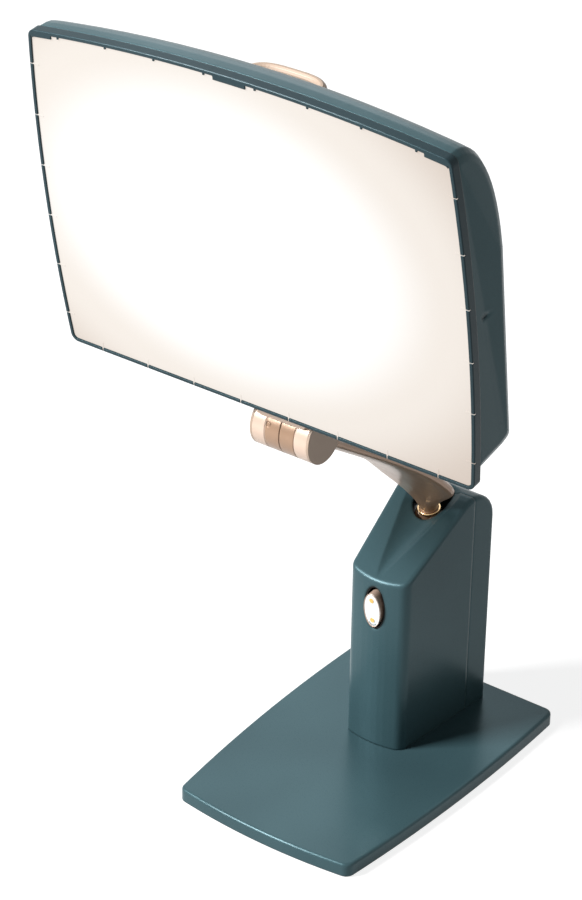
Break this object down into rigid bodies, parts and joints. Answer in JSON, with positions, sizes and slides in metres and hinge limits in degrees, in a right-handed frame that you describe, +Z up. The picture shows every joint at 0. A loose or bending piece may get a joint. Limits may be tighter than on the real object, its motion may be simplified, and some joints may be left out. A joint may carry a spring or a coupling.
{
  "type": "light therapy lamp",
  "caption": "Desk light box on a swing arm: a broad lit screen tilts on a barrel hinge above a weighted base with a rocker switch.",
  "frame": {"origin": "centre of the whole lamp's box on the plane it stands on", "axes": "+Z up, the lit screen faces -Y, +X is on the right of someone who faces the screen"},
  "size_m": [0.4316, 0.3732, 0.7624],
  "materials": {
    "teal_paint": "satin metallic",
    "bronze_metal": "satin lacquer",
    "bronze_plastic": "satin metallic paint",
    "bare_steel": "zinc plated",
    "fastener_steel": "plated",
    "black_plastic": "matte",
    "foot_rubber": "matte",
    "switch_chrome": "polished",
    "amber_lens": "gloss",
    "diffuser": "opal, lit",
    "white_sheet": "gloss white",
    "lamp_glass": "phosphor coated",
    "white_plastic": "matte"
  },
  "bodies": {
    "stand": {"base_cover": "teal_paint", "base_pan": "black_plastic", "base_weight": "bare_steel", "rubber_feet": "foot_rubber", "base_screws": "fastener_steel", "column_shell": "teal_paint", "column_back": "teal_paint", "column_screws": "fastener_steel", "arm_bracket": "bare_steel", "bracket_bolts": "fastener_steel", "pivot_bolt": "fastener_steel", "pivot_nut": "fastener_steel", "pivot_springs": "fastener_steel", "pivot_discs": "black_plastic", "switch_surround": "bronze_plastic", "switch_body": "black_plastic", "power_inlet": "black_plastic", "inlet_pins": "fastener_steel"},
    "arm": {"swing_arm": "bronze_metal", "neck_ring": "bronze_metal"},
    "head": {"head_bracket": "bronze_metal", "hinge_pin": "fastener_steel", "hinge_caps": "bronze_plastic", "hinge_discs": "bronze_plastic", "bracket_plate": "bare_steel", "bracket_screws": "fastener_steel", "front_bezel": "teal_paint", "diffuser": "diffuser", "rear_housing": "teal_paint", "housing_screws": "fastener_steel", "grip_handle": "bronze_plastic", "handle_screws": "fastener_steel", "reflector": "white_sheet", "lamp_tubes": "lamp_glass", "lamp_caps": "white_plastic", "lamp_holders": "white_plastic", "lamp_clips": "fastener_steel", "ballast": "white_sheet", "ballast_screws": "fastener_steel", "reflector_screws": "fastener_steel"},
    "rocker": {"switch_rocker": "bronze_plastic", "switch_face": "switch_chrome", "switch_indicators": "amber_lens"}
  },
  "joints": [
    {"name": "arm_swing", "type": "hinge", "parent": "stand", "child": "arm", "pos_m": [0, 0.1207, 0.221], "axis": [1, 0, 0], "range_deg": [-20, 12]},
    {"name": "head_tilt", "type": "hinge", "parent": "arm", "child": "head", "pos_m": [0, -0.0915, 0.4099], "axis": [1, 0, 0], "range_deg": [-40, 30]},
    {"name": "switch_rock", "type": "hinge", "parent": "stand", "child": "rocker", "pos_m": [0, 0.0418, 0.1645], "axis": [1, 0, 0], "range_deg": [-12, 0]}
  ]
}
